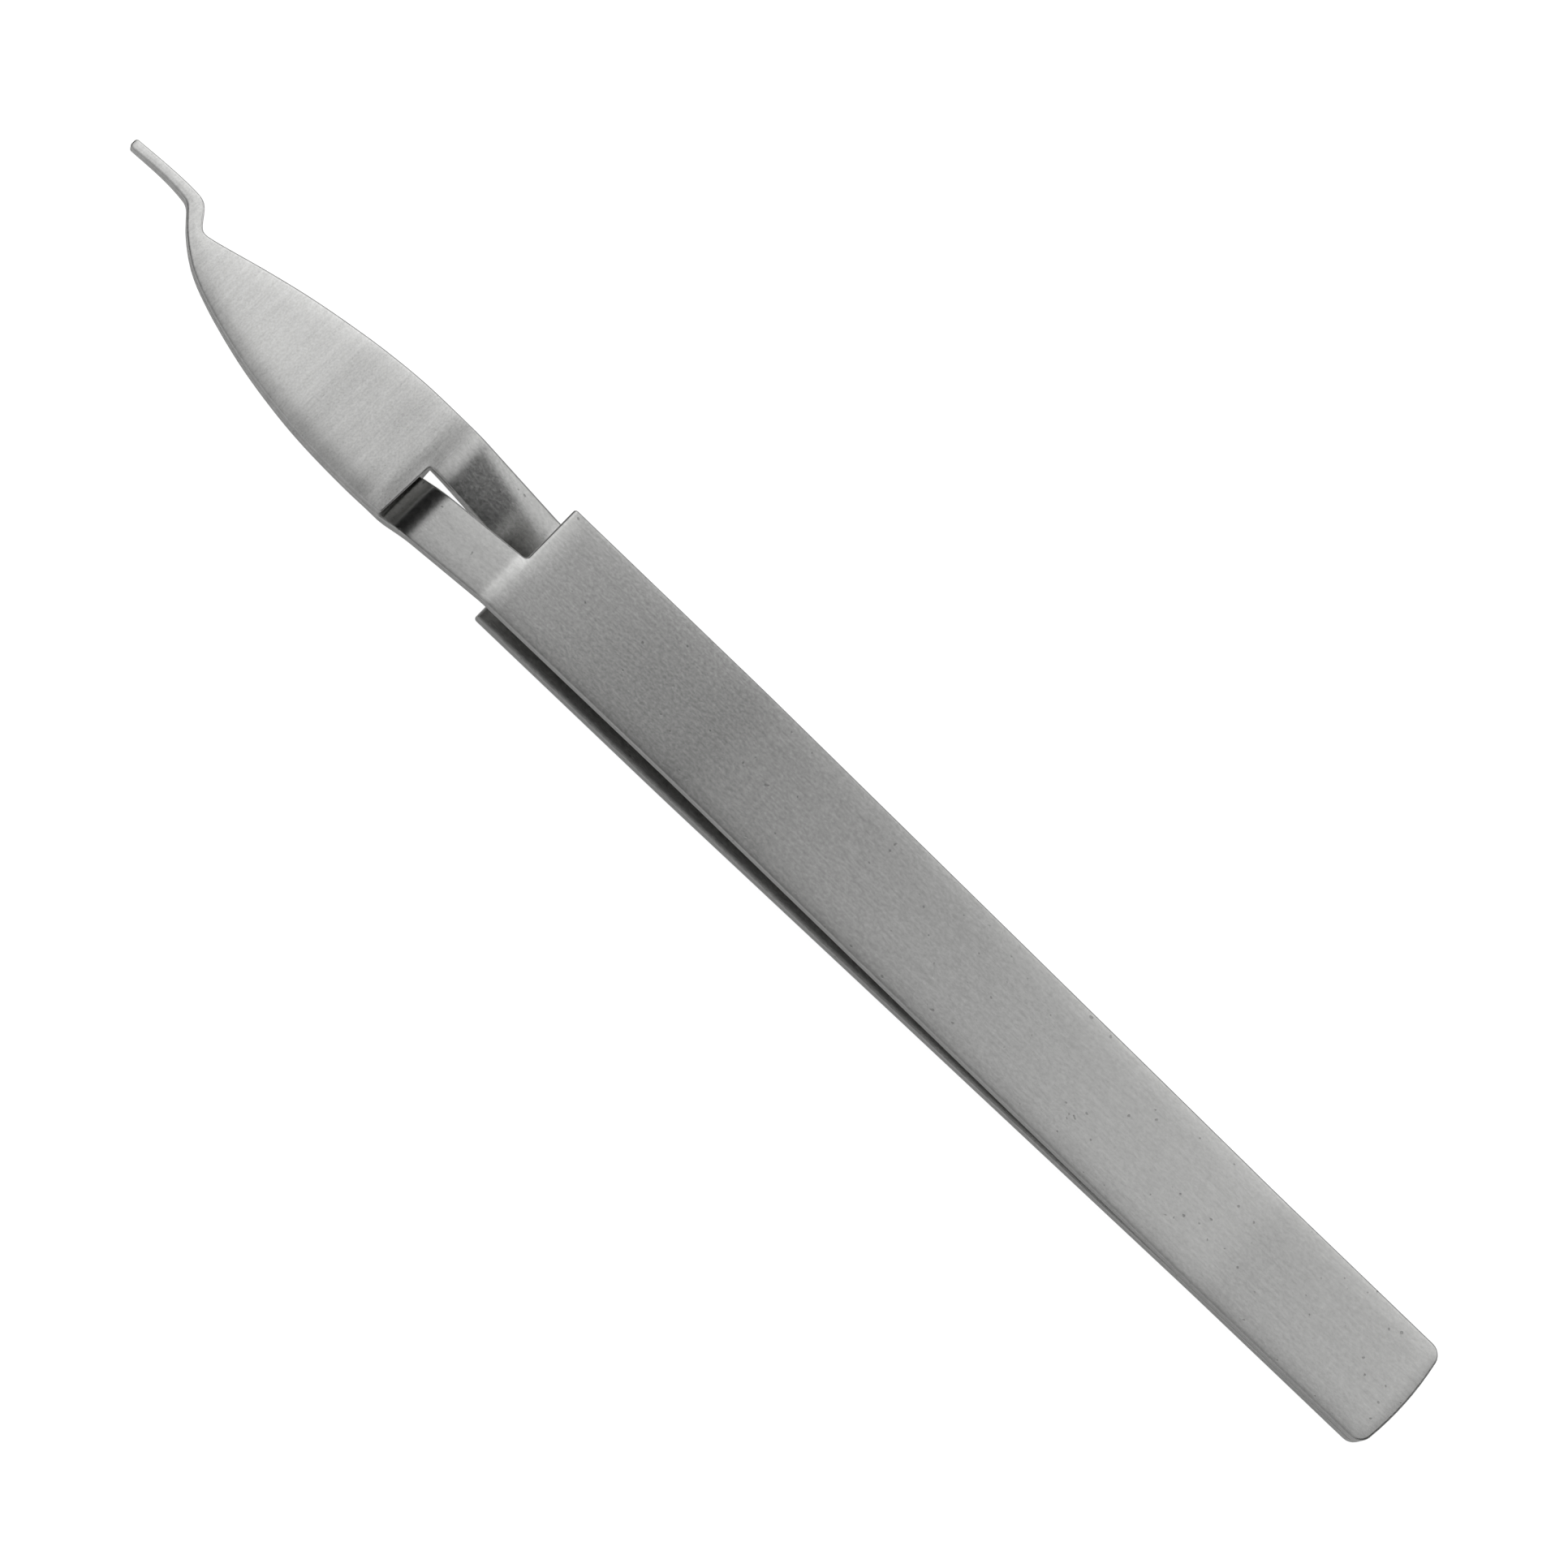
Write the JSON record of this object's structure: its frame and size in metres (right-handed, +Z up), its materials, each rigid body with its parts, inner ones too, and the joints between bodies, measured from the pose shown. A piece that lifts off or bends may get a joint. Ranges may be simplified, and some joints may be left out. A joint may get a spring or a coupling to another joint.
{
  "type": "self-closing tweezers",
  "caption": "Self-closing cross-action tweezers in bare steel: bowed squeeze handle, crossed necks and flat heads drawn out to narrow offset tips.",
  "frame": {"origin": "middle of the overall length, on the handle's centre line, level with the lowest face of the lower handle leg", "axes": "+X along the length towards the tips, +Y towards the side where the upper handle leg's neck is, +Z up from the lower handle leg to the upper one"},
  "size_m": [0.1302, 0.0099, 0.0067],
  "materials": {
    "steel": "satin, brushed crosswise on the heads and lengthwise on the handle",
    "weld": "fused metal inside the joint"
  },
  "bodies": {
    "tail": {"upper_blade_tail": "steel", "lower_blade_tail": "steel", "weld_nugget_1": "weld", "weld_nugget_2": "weld"},
    "upper_arm": {"upper_blade_arm": "steel"},
    "lower_arm": {"lower_blade_arm": "steel"}
  },
  "joints": [
    {"name": "upper_leg_flex", "type": "hinge", "parent": "tail", "child": "upper_arm", "pos_m": [-0.0312, 0, 0.00463], "axis": [0, 1, 0], "range_deg": [0, 2.2], "stiffness_Nm_per_rad": 4, "springref_deg": -1.72},
    {"name": "lower_leg_flex", "type": "hinge", "parent": "tail", "child": "lower_arm", "pos_m": [-0.0312, 0, 0.00205], "axis": [0, -1, 0], "range_deg": [0, 2.2], "stiffness_Nm_per_rad": 4, "springref_deg": -1.72}
  ],
  "couplings": [
    {"joint": "lower_leg_flex", "follows": "upper_leg_flex", "ratio": 1}
  ]
}
